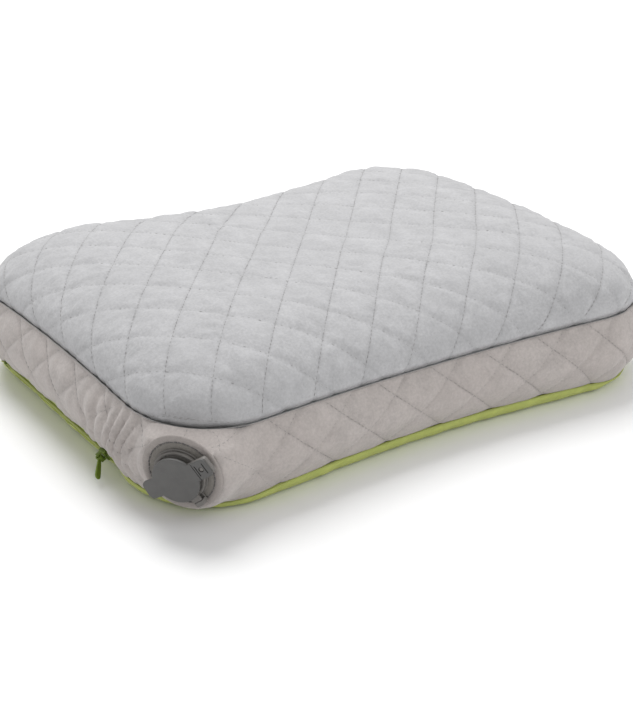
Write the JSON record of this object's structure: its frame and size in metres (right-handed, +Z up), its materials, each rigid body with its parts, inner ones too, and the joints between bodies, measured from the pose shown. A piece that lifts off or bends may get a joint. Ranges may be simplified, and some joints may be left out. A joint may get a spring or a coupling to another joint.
{
  "type": "camp pillow",
  "caption": "Inflatable camp pillow: quilted grey cover with waisted long sides, green base, corner air valve and end zipper.",
  "frame": {"origin": "on the resting face, under the middle of the sewn body", "axes": "+X along the pillow away from the zipper's end, +Z up, +Y across it away from the valve's side"},
  "size_m": [0.3832, 0.3088, 0.0936],
  "materials": {
    "top_fabric": "brushed microfibre, quilted",
    "band_fabric": "brushed microfibre, quilted",
    "base_fabric": "woven nylon",
    "wadding": "polyester fill",
    "seam_tape": "woven binding",
    "film": "thin soft film",
    "valve_plastic": "matte moulded",
    "cap_plastic": "matte moulded",
    "flap_rubber": "soft clear silicone",
    "zip_tape": "woven tape",
    "zip_coil": "nylon coil",
    "zip_slider": "satin paint",
    "zip_pull": "moulded"
  },
  "bodies": {
    "root": {"top_panel": "top_fabric", "side_band": "band_fabric", "base_panel": "base_fabric", "top_wadding": "wadding", "band_wadding": "wadding", "top_seam_tape": "seam_tape", "air_bladder": "film", "valve_patch": "band_fabric", "valve_body": "valve_plastic", "strap_ring": "valve_plastic", "zip_tape_upper": "zip_tape", "zip_tape_lower": "zip_tape", "zip_coil_upper": "zip_coil", "zip_coil_lower": "zip_coil", "zip_stop_front": "zip_coil", "zip_stop_back": "zip_coil"},
    "plug": {"dump_plug": "valve_plastic", "cap_strap": "cap_plastic"},
    "cap": {"valve_cap": "cap_plastic"},
    "flap": {"check_flap": "flap_rubber"},
    "slider": {"zip_slider": "zip_slider"},
    "pull": {"zip_pull": "zip_pull"}
  },
  "joints": [
    {"name": "plug_out", "type": "slide", "parent": "root", "child": "plug", "axis": [-0.7979, -0.5904, -0.1219], "range_m": [0, 0.014]},
    {"name": "cap_fold", "type": "hinge", "parent": "plug", "child": "cap", "pos_m": [-0.17305, -0.15177, 0.04117], "axis": [-0.4138, 0.3894, 0.8229], "range_deg": [0, 150]},
    {"name": "flap_open", "type": "slide", "parent": "plug", "child": "flap", "axis": [0.7979, 0.5904, 0.1219], "range_m": [0, 0.0012], "stiffness_N_per_m": 20},
    {"name": "zip_run", "type": "slide", "parent": "root", "child": "slider", "axis": [0, 1, 0], "range_m": [0, 0.1375]},
    {"name": "pull_swing", "type": "hinge", "parent": "slider", "child": "pull", "pos_m": [-0.18498, -0.05945, 0.01167], "axis": [0.5968, 0.1034, -0.7957], "range_deg": [-30, 110]}
  ]
}
